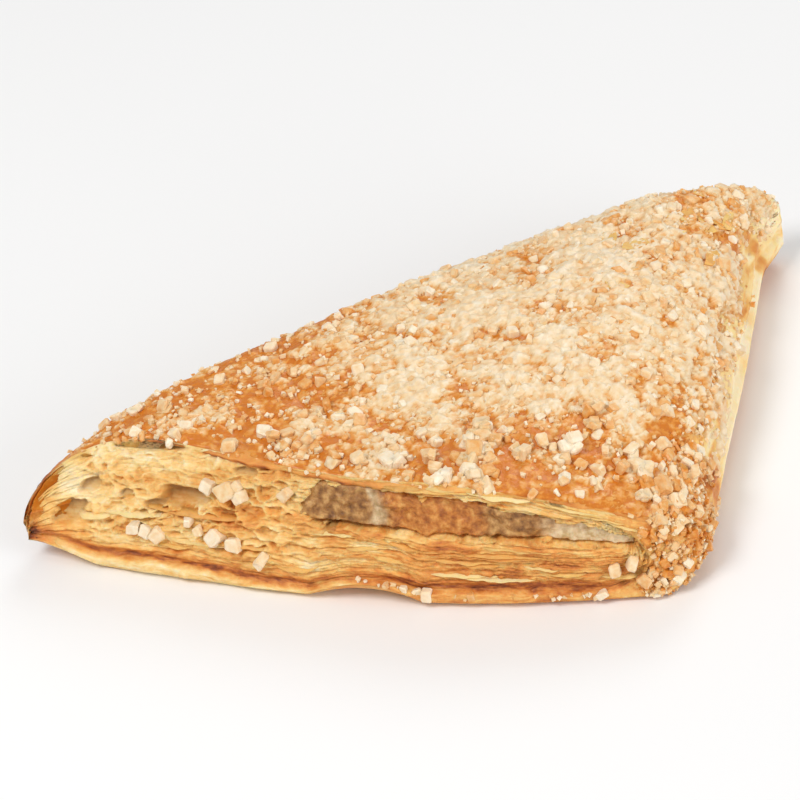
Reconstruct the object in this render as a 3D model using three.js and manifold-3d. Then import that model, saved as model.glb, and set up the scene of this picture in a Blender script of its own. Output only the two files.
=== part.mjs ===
// Turnover pastry: a slab of puff pastry folded over a fruit filling and cut to a triangle.
//
// The dough is one solid. Its upper and lower leaves are joined by the fold along the right side,
// and are cut through along the front and along the long back edge, where the leaves fan out and
// the filling shows in the slot between them. The corner between the two cuts is pinched to a tip.
//
// Units are millimetres, +Z is up. The front cut runs along X, the fold along Y at the +X side.
// The origin is the middle of the bounding box, on the surface that the pastry lies on.

import * as THREE from "three";
import { mergeVertices } from "three/addons/utils/BufferGeometryUtils.js";
import Module from "manifold-3d";

// Plan.
const LENGTH = 120; // front cut, from the tip to the fold
const DEPTH = 105; // fold, from the front corner to the back corner
const TIP_WIDTH = 4.5; // blunt end of the pinched tip
const FRONT_SWELL = 7; // how far the front cut bows out
const FRONT_SWELL_LEAN = 1.2; // above 1, it bows out most nearer the fold
const BACK_SWELL = 6.5; // how far the back cut bows out
const FOLD_SWELL = 0.8; // how far the fold bows out
const FRONT_CORNER = 10; // rounding of the fold's front end, seen from above
const BACK_CORNER = 5; // the same at its back end
const EAR = 3.5; // the back corner flares out past the fold
const EAR_START = 0.82; // share of the depth where the flare begins

// Height.
const LEAF_HEIGHT = 23.5; // upper leaf along the cuts
const CROWN = 3; // further rise in the middle
const WAVE = 0.7; // unevenness of the upper leaf
const LIP_RUN = 5; // width of the rounded lip above a cut
const LIP_DROP = 2.2; // how far that lip turns down
const FRONT_LIP_DROP = 0.3; // the same along most of the front cut
const FRONT_LIP_TURN = [0.6, 0.9]; // shares of the length between which the front lip turns down fully
const TIP_TOP = 8;
const TIP_LIFT = 4.5; // the tip curls up off the table
const TIP_RUN = 26; // length over which the pinched tip opens out
const FOLD_MIDDLE = 7; // height of the fold's outermost line
const FOLD_BAND = 1; // half the flat band along that line
const FOLD_RUN = 24; // how far in the upper leaf starts to roll down to the fold
const FOLD_RUN_FRONT = 46; // the same at the front cut, where it rolls down sooner
const FOLD_RUN_FADE = 0.3; // share of the depth over which one becomes the other
const FOLD_RUN_BACK = 22; // and the same at the back corner
const UNDER_RUN = 9; // roll of the lower leaf up to the fold
const BASE_EDGE = 2.5; // width of the rounded lower edge of a cut
const BASE_LIFT = 1;
const NOTCH = [0.42, 0.62]; // shares of the length where the lower leaf is drawn up at the front cut
const NOTCH_LIFT = 4;
const NOTCH_RUN = 12; // how far in from the cut it is drawn up

// Cut edges.
const LEAF_STEP = 0.9; // depth between neighbouring bunches of leaves
const CUT_SETBACK = 9; // the upper leaf lies further in than the lower one near the tip
const SETBACK_PEAK = 0.2; // share of the length where it lies furthest in
const BACK_SETBACK = 0.3; // how much of that setback the back cut has
const LEAF_END = [0.86, 0.94]; // shares of the length between which the stepped leaves give way to the fold

// Filling, as shares of the length and of the height between the two leaves' outer faces.
const FILLING_START = 0.42;
const FILLING_END = 0.91;
const FILLING_LEVEL = 0.71;
const FILLING_SHARE = 0.27;
const FILLING_RECESS = 1.6; // the filling ends this far inside the cuts
const CLEARANCE = 0.3; // between the filling and the dough round it
const OVERRUN = 12; // the pocket's cutter runs this far out of the dough

// Facets.
const ALONG = 42;
const ACROSS = 20;
const LEAVES = 12; // rows up a cut, every second one set in
const FILLING_ALONG = 20;
const FILLING_UP = 6;

const { lerp, smoothstep } = THREE.MathUtils;
const quarterRound = (distance, run) => Math.sqrt(1 - (1 - Math.min(Math.max(distance / run, 0), 1)) ** 2);
const hump = (share) => Math.sin(Math.PI * Math.min(Math.max(share, 0), 1));

const depthAt = (along) => lerp(TIP_WIDTH, DEPTH, along);

// Moves evenly spaced shares towards both ends, where the shape turns fastest.
const gather = (share, amount) => lerp(share, (1 - Math.cos(Math.PI * share)) / 2, amount);

// Rounds the corner at (1, 1) of a unit square.
function roundedCorner(a, b) {
  return [a * Math.sqrt(1 - (b * b) / 2), b * Math.sqrt(1 - (a * a) / 2)];
}

// Shares of the length and depth, with both ends of the fold rounded.
function roundedPlan(along, across) {
  const nearBack = across > 0.5;
  const radius = nearBack ? BACK_CORNER : FRONT_CORNER;
  const reachAlong = radius / LENGTH;
  const reachAcross = radius / DEPTH;
  const intoFold = 1 - (1 - along) / reachAlong;
  const intoCut = 1 - (nearBack ? 1 - across : across) / reachAcross;
  if (intoFold <= 0 || intoCut <= 0 || intoCut > 1) return [along, across];
  const [a, b] = roundedCorner(intoFold, intoCut);
  const fromCut = (1 - b) * reachAcross;
  return [1 - (1 - a) * reachAlong, nearBack ? 1 - fromCut : fromCut];
}

// Rises from 0 at the tip to 1 at the peak, then falls off towards the fold.
const setbackShare = (along) => (along / SETBACK_PEAK) * Math.exp(1 - along / SETBACK_PEAK);

// Height of the upper leaf's outer face.
function topHeight(along, across) {
  const toFold = (1 - along) * LENGTH;
  const toCut = Math.min(across, 1 - across) * depthAt(along);
  const wave = WAVE * Math.sin(7 * along + 3 * across) * Math.cos(5 * across - 4 * along);
  const open = quarterRound(along * LENGTH, TIP_RUN);
  const level = LEAF_HEIGHT + CROWN * hump(across) * hump(along ** 1.3) + wave;
  const frontDrop = lerp(FRONT_LIP_DROP, LIP_DROP, smoothstep(along, ...FRONT_LIP_TURN));
  const drop = lerp(frontDrop, LIP_DROP, smoothstep(across, 0.3, 0.7));
  const lip = drop * open * (1 - quarterRound(toCut, LIP_RUN));
  const full = lerp(TIP_TOP, level, open) - lip;
  const fromFront = lerp(FOLD_RUN_FRONT, FOLD_RUN, smoothstep(across, 0, FOLD_RUN_FADE));
  const foldRun = lerp(fromFront, FOLD_RUN_BACK, smoothstep(across, 1 - FOLD_RUN_FADE, 1));
  const rim = FOLD_MIDDLE + FOLD_BAND;
  return rim + (full - rim) * quarterRound(toFold, foldRun);
}

// Height of the lower leaf's outer face.
function baseHeight(along, across) {
  const toFold = (1 - along) * LENGTH;
  const toCut = Math.min(across, 1 - across) * depthAt(along);
  const curl = TIP_LIFT * (1 - smoothstep(along * LENGTH, 0, TIP_RUN * 0.7));
  const edge = BASE_LIFT * (1 - quarterRound(toCut, BASE_EDGE));
  const inNotch = hump((along - NOTCH[0]) / (NOTCH[1] - NOTCH[0]));
  const notch = NOTCH_LIFT * inNotch * (1 - quarterRound(across * depthAt(along), NOTCH_RUN));
  const rim = FOLD_MIDDLE - FOLD_BAND;
  return lerp(rim, Math.max(curl, edge, notch), quarterRound(toFold, UNDER_RUN));
}

// The point at these shares of the length, depth and height of the dough.
function inDough(along, across, up) {
  const [s, t] = roundedPlan(along, across);
  const low = baseHeight(s, t);
  const high = topHeight(s, t);
  const setback = CUT_SETBACK * up ** 1.5 * setbackShare(s);
  const bow = lerp(-FRONT_SWELL * hump(s ** FRONT_SWELL_LEAN), BACK_SWELL * hump(s), t);
  const tuck = lerp(setback, -BACK_SETBACK * setback, t);
  const ear = EAR * smoothstep(t, EAR_START, 1) ** 1.5 * s ** 8;
  return new THREE.Vector3(
    s * LENGTH + FOLD_SWELL * s ** 6 * hump(t) + ear,
    t * depthAt(s) + bow + tuck,
    lerp(low, high, up),
  );
}

// A box whose points are moved by shape(x, y, z), each share from 0 to 1, with its corners shared.
function shapedBox(segments, shape) {
  const box = new THREE.BoxGeometry(1, 1, 1, ...segments);
  box.deleteAttribute("normal");
  box.deleteAttribute("uv");
  const geometry = mergeVertices(box);
  const position = geometry.getAttribute("position");
  for (let i = 0; i < position.count; i++) {
    const point = shape(position.getX(i) + 0.5, position.getY(i) + 0.5, position.getZ(i) + 0.5);
    position.setXYZ(i, point.x, point.y, point.z);
  }
  return geometry;
}

// The whole folded slab, with the bunches of leaves stepped along both cuts.
function doughOutside() {
  return shapedBox([ALONG, ACROSS, LEAVES], (x, y, z) => {
    const along = gather(x, 0.75);
    const point = inDough(along, gather(y, 0.6), z);
    const row = Math.round(z * LEAVES);
    const onCut = y < 1e-6 || y > 1 - 1e-6;
    const step = LEAF_STEP * Math.min(1, 8 * along) * (1 - smoothstep(along, ...LEAF_END));
    if (onCut && row % 2 === 1) point.y += y < 0.5 ? step : -step;
    return point;
  });
}

// The slab that parts the leaves. It runs out of both cuts, and grows by spare on its other sides.
function layerBetween(spare) {
  const start = FILLING_START - spare / LENGTH;
  const end = FILLING_END + spare / LENGTH;
  return shapedBox([FILLING_ALONG, ACROSS / 2, FILLING_UP], (x, y, z) => {
    const share = gather(x, 0.9);
    const along = lerp(start, end, share);
    const reach = OVERRUN / depthAt(along);
    const across = lerp(-reach, 1 + reach, y);
    const inside = Math.min(Math.max(across, 0), 1);
    const height = topHeight(along, inside) - baseHeight(along, inside);
    const fullness = 0.25 + 0.75 * Math.sqrt(hump(share ** 0.6));
    const up = FILLING_LEVEL + (z - 0.5) * (FILLING_SHARE * fullness + (2 * spare) / height);
    const point = inDough(along, inside, up);
    point.y += (across - inside) * depthAt(along);
    return point;
  });
}

// The room between the two cuts, less the recess that the filling ends at.
function betweenCuts() {
  return shapedBox([ALONG, 1, 1], (x, y, z) => {
    const point = inDough(gather(x, 0.75), y, z);
    point.y += lerp(FILLING_RECESS, -FILLING_RECESS, y);
    return point;
  });
}

const wasm = await Module();
wasm.setup();

function toSolid(geometry) {
  return new wasm.Manifold(
    new wasm.Mesh({
      numProp: 3,
      vertProperties: new Float32Array(geometry.getAttribute("position").array),
      triVerts: new Uint32Array(geometry.index.array),
    }),
  );
}

function toGeometry(solid) {
  const mesh = solid.getMesh();
  const geometry = new THREE.BufferGeometry();
  geometry.setAttribute("position", new THREE.BufferAttribute(mesh.vertProperties, 3));
  geometry.setIndex(new THREE.BufferAttribute(mesh.triVerts, 1));
  geometry.computeVertexNormals();
  return geometry;
}

function pastry() {
  const pocket = toSolid(layerBetween(CLEARANCE));
  const geometry = toGeometry(toSolid(doughOutside()).subtract(pocket));
  const material = new THREE.MeshStandardMaterial({ color: 0xe3a862, roughness: 0.6, metalness: 0 });
  const mesh = new THREE.Mesh(geometry, material);
  mesh.name = "pastry";
  return mesh;
}

function filling() {
  const geometry = toGeometry(toSolid(layerBetween(0)).intersect(toSolid(betweenCuts())));
  const material = new THREE.MeshStandardMaterial({ color: 0xb07f4c, roughness: 0.4, metalness: 0 });
  const mesh = new THREE.Mesh(geometry, material);
  mesh.name = "filling";
  return mesh;
}

const turnover = new THREE.Group();
turnover.add(pastry(), filling());

const box = new THREE.Box3().setFromObject(turnover);
const middle = box.getCenter(new THREE.Vector3());
turnover.position.set(-middle.x, -middle.y, -box.min.z);

export default turnover;
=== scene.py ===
"""The looks of a puff pastry turnover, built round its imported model.

Lengths are in metres, in the model's own frame: +X runs along the front cut from the tip to the fold,
+Y along the fold to the back corner, and +Z is up. A place in the dough is given by three shares from
0 to 1: along (tip to fold), across (front cut to back cut) and up (lower to upper face).
"""

import itertools
import math

import bmesh
import bpy
import numpy as np
from mathutils import Matrix, Vector


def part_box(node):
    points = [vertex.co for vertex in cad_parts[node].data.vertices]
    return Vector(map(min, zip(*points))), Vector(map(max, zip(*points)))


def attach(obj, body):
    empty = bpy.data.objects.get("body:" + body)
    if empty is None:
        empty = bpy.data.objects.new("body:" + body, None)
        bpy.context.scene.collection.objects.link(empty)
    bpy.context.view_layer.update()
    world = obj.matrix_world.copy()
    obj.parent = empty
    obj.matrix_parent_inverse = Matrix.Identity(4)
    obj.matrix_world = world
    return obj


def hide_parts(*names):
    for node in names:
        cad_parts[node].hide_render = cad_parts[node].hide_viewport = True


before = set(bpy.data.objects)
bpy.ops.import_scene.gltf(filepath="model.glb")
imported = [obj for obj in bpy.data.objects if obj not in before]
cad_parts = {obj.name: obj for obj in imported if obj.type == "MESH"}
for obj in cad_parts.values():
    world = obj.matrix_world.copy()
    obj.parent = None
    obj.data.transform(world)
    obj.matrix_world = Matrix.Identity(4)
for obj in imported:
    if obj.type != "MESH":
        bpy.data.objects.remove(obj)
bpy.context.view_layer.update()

MM = 0.001

# ---------------------------------------------------------------- form of the dough, as in the model

LENGTH = 120 * MM
DEPTH = 105 * MM
TIP_WIDTH = 4.5 * MM
FRONT_SWELL = 7 * MM
FRONT_SWELL_LEAN = 1.2
BACK_SWELL = 6.5 * MM
FOLD_SWELL = 0.8 * MM
FRONT_CORNER = 10 * MM
BACK_CORNER = 5 * MM
EAR = 3.5 * MM
EAR_START = 0.82

LEAF_HEIGHT = 23.5 * MM
CROWN = 3 * MM
WAVE = 0.7 * MM
LIP_RUN = 5 * MM
LIP_DROP = 2.2 * MM
FRONT_LIP_DROP = 0.3 * MM
FRONT_LIP_TURN = (0.6, 0.9)
TIP_TOP = 8 * MM
TIP_LIFT = 4.5 * MM
TIP_RUN = 26 * MM
FOLD_MIDDLE = 7 * MM
FOLD_BAND = 1 * MM
FOLD_RUN = 24 * MM
FOLD_RUN_FRONT = 46 * MM
FOLD_RUN_BACK = 22 * MM
FOLD_RUN_FADE = 0.3
UNDER_RUN = 9 * MM
BASE_EDGE = 2.5 * MM
BASE_LIFT = 1 * MM
NOTCH = (0.42, 0.62)
NOTCH_LIFT = 4 * MM
NOTCH_RUN = 12 * MM

CUT_SETBACK = 9 * MM
SETBACK_PEAK = 0.2
BACK_SETBACK = 0.3

FILLING_START = 0.42
FILLING_END = 0.91
FILLING_LEVEL = 0.71
FILLING_SHARE = 0.27
FILLING_RECESS = 1.6 * MM


def lerp(a, b, share):
    return a + (b - a) * share


def fade(value, start, end):
    """Rises smoothly from 0 at start to 1 at end."""
    share = np.clip((value - start) / (end - start), 0, 1)
    return share * share * (3 - 2 * share)


def quarter_round(distance, run):
    return np.sqrt(1 - (1 - np.clip(distance / run, 0, 1)) ** 2)


def hump(share):
    return np.sin(np.pi * np.clip(share, 0, 1))


def depth_at(along):
    return lerp(TIP_WIDTH, DEPTH, along)


def rounded_plan(along, across):
    """Shares of the length and depth, with both ends of the fold rounded."""
    near_back = across > 0.5
    radius = np.where(near_back, BACK_CORNER, FRONT_CORNER)
    reach_along = radius / LENGTH
    reach_across = radius / DEPTH
    into_fold = 1 - (1 - along) / reach_along
    into_cut = 1 - np.where(near_back, 1 - across, across) / reach_across
    in_corner = (into_fold > 0) & (into_cut > 0) & (into_cut <= 1)
    a = into_fold * np.sqrt(np.clip(1 - into_cut**2 / 2, 0, 1))
    b = into_cut * np.sqrt(np.clip(1 - into_fold**2 / 2, 0, 1))
    from_cut = (1 - b) * reach_across
    turned_across = np.where(near_back, 1 - from_cut, from_cut)
    return np.where(in_corner, 1 - (1 - a) * reach_along, along), np.where(in_corner, turned_across, across)


def top_height(along, across):
    to_fold = (1 - along) * LENGTH
    to_cut = np.minimum(across, 1 - across) * depth_at(along)
    wave = WAVE * np.sin(7 * along + 3 * across) * np.cos(5 * across - 4 * along)
    opened = quarter_round(along * LENGTH, TIP_RUN)
    level = LEAF_HEIGHT + CROWN * hump(across) * hump(along**1.3) + wave
    front_drop = lerp(FRONT_LIP_DROP, LIP_DROP, fade(along, *FRONT_LIP_TURN))
    drop = lerp(front_drop, LIP_DROP, fade(across, 0.3, 0.7))
    lip = drop * opened * (1 - quarter_round(to_cut, LIP_RUN))
    full = lerp(TIP_TOP, level, opened) - lip
    from_front = lerp(FOLD_RUN_FRONT, FOLD_RUN, fade(across, 0, FOLD_RUN_FADE))
    fold_run = lerp(from_front, FOLD_RUN_BACK, fade(across, 1 - FOLD_RUN_FADE, 1))
    rim = FOLD_MIDDLE + FOLD_BAND
    return rim + (full - rim) * quarter_round(to_fold, fold_run)


def base_height(along, across):
    to_fold = (1 - along) * LENGTH
    to_cut = np.minimum(across, 1 - across) * depth_at(along)
    curl = TIP_LIFT * (1 - fade(along * LENGTH, 0, TIP_RUN * 0.7))
    edge = BASE_LIFT * (1 - quarter_round(to_cut, BASE_EDGE))
    in_notch = hump((along - NOTCH[0]) / (NOTCH[1] - NOTCH[0]))
    notch = NOTCH_LIFT * in_notch * (1 - quarter_round(across * depth_at(along), NOTCH_RUN))
    rim = FOLD_MIDDLE - FOLD_BAND
    return lerp(rim, np.maximum.reduce([curl, edge, notch]), quarter_round(to_fold, UNDER_RUN))


def in_dough(along, across, up):
    """Points at these shares of the length, depth and height, with the tip's lowest corner near zero."""
    along, across, up = np.broadcast_arrays(along, across, up)
    s, t = rounded_plan(along, across)
    setback = CUT_SETBACK * up**1.5 * (s / SETBACK_PEAK) * np.exp(1 - s / SETBACK_PEAK)
    bow = lerp(-FRONT_SWELL * hump(s**FRONT_SWELL_LEAN), BACK_SWELL * hump(s), t)
    tuck = lerp(setback, -BACK_SETBACK * setback, t)
    ear = EAR * fade(t, EAR_START, 1) ** 1.5 * s**8
    x = s * LENGTH + FOLD_SWELL * s**6 * hump(t) + ear
    y = t * depth_at(s) + bow + tuck
    z = lerp(base_height(s, t), top_height(s, t), up)
    return np.stack([x, y, z], axis=-1)


def place_of_origin():
    """What moves in_dough's points into the model's frame: their lowest corner goes to the model's."""
    shares = np.linspace(0, 1, 200)
    low = in_dough(shares[:, None], 0.0, shares[None, :]).min(axis=(0, 1))
    return np.array(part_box("pastry")[0]) - [low[0], low[1], 0]


ORIGIN = place_of_origin()


def dough(along, across, up):
    return in_dough(along, across, up) + ORIGIN


# ---------------------------------------------------------------- unevenness

LATTICE = 32


def smooth_noise(points, size, seed):
    """Noise from -1 to 1: one drawn value for each cell of this size, blended smoothly."""
    draw = np.random.default_rng(seed)
    values = draw.uniform(-1, 1, (LATTICE,) * 3)
    cells = points / np.asarray(size) + draw.uniform(0, LATTICE, 3)
    low = np.floor(cells).astype(int)
    part = cells - low
    part = part * part * (3 - 2 * part)
    total = np.zeros(points.shape[:-1])
    for corner in itertools.product((0, 1), repeat=3):
        weight = np.prod(np.where(corner, part, 1 - part), axis=-1)
        x, y, z = np.moveaxis((low + corner) % LATTICE, -1, 0)
        total += weight * values[x, y, z]
    return total


def layered_noise(points, size, seed, layers=3):
    """Smooth noise with finer and fainter noise on it."""
    total = np.zeros(points.shape[:-1])
    for layer in range(layers):
        total += 0.5**layer * smooth_noise(points, np.asarray(size) / 2**layer, seed + layer)
    return total


def cell_noise(points, size, seed):
    """Scattered points: distances to the nearest and the second nearest, in cells, and the nearest one's
    value from 0 to 1 and the way to it."""
    draw = np.random.default_rng(seed)
    jitter = draw.uniform(0, 1, (LATTICE,) * 3 + (3,))
    values = draw.uniform(0, 1, (LATTICE,) * 3)
    cells = points / np.asarray(size) + draw.uniform(0, LATTICE, 3)
    low = np.floor(cells).astype(int)
    nearest = np.full(points.shape[:-1], 9.0)
    second = nearest.copy()
    value = np.zeros(points.shape[:-1])
    way = np.zeros(points.shape)
    for offset in itertools.product((-1, 0, 1), repeat=3):
        x, y, z = np.moveaxis((low + offset) % LATTICE, -1, 0)
        this_way = low + offset + jitter[x, y, z] - cells
        distance = np.linalg.norm(this_way, axis=-1)
        closer = distance < nearest
        second = np.where(closer, nearest, np.minimum(second, distance))
        value = np.where(closer, values[x, y, z], value)
        way = np.where(closer[..., None], this_way, way)
        nearest = np.where(closer, distance, nearest)
    return nearest, second, value, way


def facets(points, size, seed):
    """Heights from 0 to 1 of a field of broken crystals, each a tilted facet, and each one's own value."""
    nearest, second, value, way = cell_noise(points, size, seed)
    angle = value * 40
    tilt = way[..., 0] * np.cos(angle) + way[..., 1] * np.sin(angle)
    edge = fade(second - nearest, 0.0, 0.22)
    return (0.25 + 0.5 * value + 0.45 * tilt) * (0.35 + 0.65 * edge), value


# ---------------------------------------------------------------- meshes


def grid_normals(points):
    """Unit normals of a grid of points, from the two directions in which it runs."""
    normals = np.cross(np.gradient(points, axis=0), np.gradient(points, axis=1))
    length = np.linalg.norm(normals, axis=-1, keepdims=True)
    return normals / np.maximum(length, 1e-12)


def sheet_of(name, points, marks, close_towards=None):
    """A mesh of a grid of points, with a named value at each point for the materials to read.

    Its equal points are joined. Open edges are drawn together at the point close_towards inside the
    food, or at one point each where that is a list of points, so that the mesh is closed.
    """
    rows, columns = points.shape[:2]
    bm = bmesh.new()
    bmesh.ops.create_grid(bm, x_segments=rows - 1, y_segments=columns - 1, size=0.5)
    mesh = bpy.data.meshes.new(name)
    bm.to_mesh(mesh)
    bm.clear()
    flat = np.zeros(len(mesh.vertices) * 3)
    mesh.vertices.foreach_get("co", flat)
    shares = flat.reshape(-1, 3) + 0.5
    row = np.rint(shares[:, 0] * (rows - 1)).astype(int)
    column = np.rint(shares[:, 1] * (columns - 1)).astype(int)
    mesh.vertices.foreach_set("co", points[row, column].ravel())
    for mark, values in marks.items():
        attribute = mesh.attributes.new(mark, "FLOAT", "POINT")
        attribute.data.foreach_set("value", values[row, column].astype(np.float32))
    bm.from_mesh(mesh)
    bmesh.ops.remove_doubles(bm, verts=bm.verts, dist=0.002 * MM)
    if close_towards is not None:
        close_edges(bm, np.atleast_2d(close_towards))
    bmesh.ops.recalc_face_normals(bm, faces=bm.faces)
    bm.to_mesh(mesh)
    bm.free()
    mesh.shade_smooth()
    return added(name, mesh)


def close_edges(bm, targets):
    """Draws each open edge loop together at the nearest of the target points."""
    edges = [edge for edge in bm.edges if edge.is_boundary]
    made = bmesh.ops.extrude_edge_only(bm, edges=edges)["geom"]
    drawn = [item for item in made if isinstance(item, bmesh.types.BMVert)]
    places = np.array([vert.co for vert in drawn])
    distances = np.linalg.norm(places[:, None, :] - targets[None, :, :], axis=-1)
    nearest = distances.argmin(axis=1)
    for index, target in enumerate(targets):
        verts = [vert for vert, choice in zip(drawn, nearest) if choice == index]
        bmesh.ops.pointmerge(bm, verts=verts, merge_co=Vector(target))


def added(name, mesh):
    piece = bpy.data.objects.new(name, mesh)
    bpy.context.scene.collection.objects.link(piece)
    return piece


def finished(piece, material, node):
    piece.data.materials.append(material)
    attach(piece, "root")
    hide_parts(node)


def even_shares(points, count):
    """Shares of the way along a line of points at which count places are evenly far apart."""
    steps = np.linalg.norm(np.diff(points, axis=0), axis=-1)
    travelled = np.concatenate([[0], np.cumsum(steps)])
    shares = np.linspace(0, 1, len(points))
    return np.interp(np.linspace(0, travelled[-1], count), travelled, shares)


def even_along(across, up, count):
    fine = np.linspace(0, 1, 4000)
    return even_shares(dough(fine, across, up), count)


# ---------------------------------------------------------------- crust

SKIN = 0.7 * MM  # the crust lies this far inside the model's outer face, so that the sugar fits on it
CRUST_TOP = 340
CRUST_UNDER = 90
CRUST_ACROSS = 190
RIM = 1.1 * MM  # thickness of the crust where a cut shows it
RIM_DROP = (1.1, 1.1, 0.9, 0.4)  # how far each rim row lies below the crust's face, in rims
RIM_INSET = (1.2, 0.5, -0.3, -0.25)  # and how far it lies inside the cut, in mm
RIM_ROWS = len(RIM_DROP)
RIM_OUTER = 0.4 * MM  # rows that are inset by more than this lie behind the rim
LIP_RAGGED = 0.5 * MM  # how far the crust's edge wavers in and out
FOLD_BUMPS = 0.6 * MM  # height of the flaky steps on the fold
PATH_JOIN = 2  # rows repeated past both ends of the closed path, for its normals
FOLD_START = 0.78  # share along where the fold starts to close in on a cut's leaves
FOLD_REACH = 0.155


def crust_path():
    """Shares along and up on the way round the crust: over the top, round the fold, under and up the tip."""
    top = even_along(0.5, 1.0, CRUST_TOP)
    under = even_along(0.5, 0.0, CRUST_UNDER)[::-1]
    fold = np.linspace(1, 0, 7)[1:-1]
    tip = np.linspace(0, 1, 9)[1:]
    along = np.concatenate([top, np.ones(len(fold)), under, np.zeros(len(tip))])
    up = np.concatenate([np.ones(len(top)), fold, np.zeros(len(under)), tip])
    return along, up


# browner spots on the fold
WALL_SPOTS = (
    # along, across, half length and half width in shares, how much browner
    (0.995, 0.86, 0.020, 0.030, 0.40),
    (0.985, 0.64, 0.012, 0.040, 0.35),
    (0.975, 0.50, 0.010, 0.060, 0.22),
    (0.995, 0.19, 0.012, 0.045, 0.32),
)


def wall_share(along, across):
    """1 on the pale wall of the fold, where hardly any sugar lies."""
    ragged = along + 0.016 * layered_noise(dough(along, across, 1.0), 7 * MM, 301)
    return fade(ragged, 0.955, 1.005) * fade(across, 0.08, 0.26)


def wall_steps(points):
    """Heights of the flaky steps that run along the fold, from about -1 to 1."""
    height = 2.4 * layered_noise(points, (2.6 * MM, 15 * MM, 2.6 * MM), 53, layers=4)
    low = np.floor(height)
    return (low + fade(height - low, 0.6, 1)) / 2.4


def top_bake(points, along, across):
    """How brown the crust is, from 0 for pale dough to 1 for burnt."""
    bake = 0.52 + 0.12 * layered_noise(points, 9 * MM, 21) + 0.1 * layered_noise(points, 2.5 * MM, 25)
    bake += 0.08 * (1 - fade(along, 0.1, 0.5))
    bake -= 0.08 * fade(along, 0.35, 0.55) * fade(across, 0.15, 0.4)
    streaks = layered_noise(points, (2.4 * MM, 11 * MM, 2.4 * MM), 31, layers=4)
    wall_bake = 0.12 + 0.12 * wall_steps(points) + 0.4 * fade(streaks, 0.15, 1.0)
    bake = lerp(bake, wall_bake, wall_share(along, across))
    for place, level, half_length, half_width, browner in WALL_SPOTS:
        away = np.hypot((along - place) / half_length, (across - level) / half_width)
        bake += browner * (1 - fade(away + 0.4 * layered_noise(points, 2.5 * MM, 33), 0.4, 1.2))
    return bake


TIP_BROWNER = 0.16
TIP_BURNT = 0.55


def tip_burn(points, along, up):
    """What the pinched tip adds to how brown the dough is: its lowest corner is burnt."""
    ragged = along + 0.008 * layered_noise(points, 2 * MM, 39)
    low = 1 - fade(up, 0.15, 0.5)
    return TIP_BROWNER * (1 - fade(ragged, 0.0, 0.08)) + TIP_BURNT * (1 - fade(ragged, 0.0, 0.03)) * low


def at_corner(along):
    """1 where the crust closes the ends of the fold, and 0 where a cut shows the leaves."""
    return fade(along, FOLD_START + FOLD_REACH - 0.02, FOLD_START + FOLD_REACH + 0.01)


def crust_relief(base):
    """How far flakes and bumps lift the crust."""
    flakes = layered_noise(base, (5 * MM, 5 * MM, 2 * MM), 41, layers=4)
    steps = flakes * 3
    terraces = (np.floor(steps) + fade(steps - np.floor(steps), 0.75, 1)) / 3
    return 0.28 * MM * terraces + 0.12 * MM * layered_noise(base, 1.4 * MM, 47, layers=2) - 0.15 * MM


def crust_out(base, along, across, up):
    """How far the crust stands out of the model's face, which is inwards to leave room for the sugar."""
    to_cut = np.minimum(across, 1 - across) * depth_at(along)
    free = 1 - at_corner(along) * (1 - fade(to_cut, 0.0, 5 * MM))
    on_top = fade(up, 0.2, 0.9)
    skin = SKIN * on_top * fade(along, 0.0, 0.1)
    wall = FOLD_BUMPS * wall_steps(base) * fade(along, 0.91, 0.96)
    return free * ((crust_relief(base) + wall) * lerp(0.25, 1.0, on_top) - skin)


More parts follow.
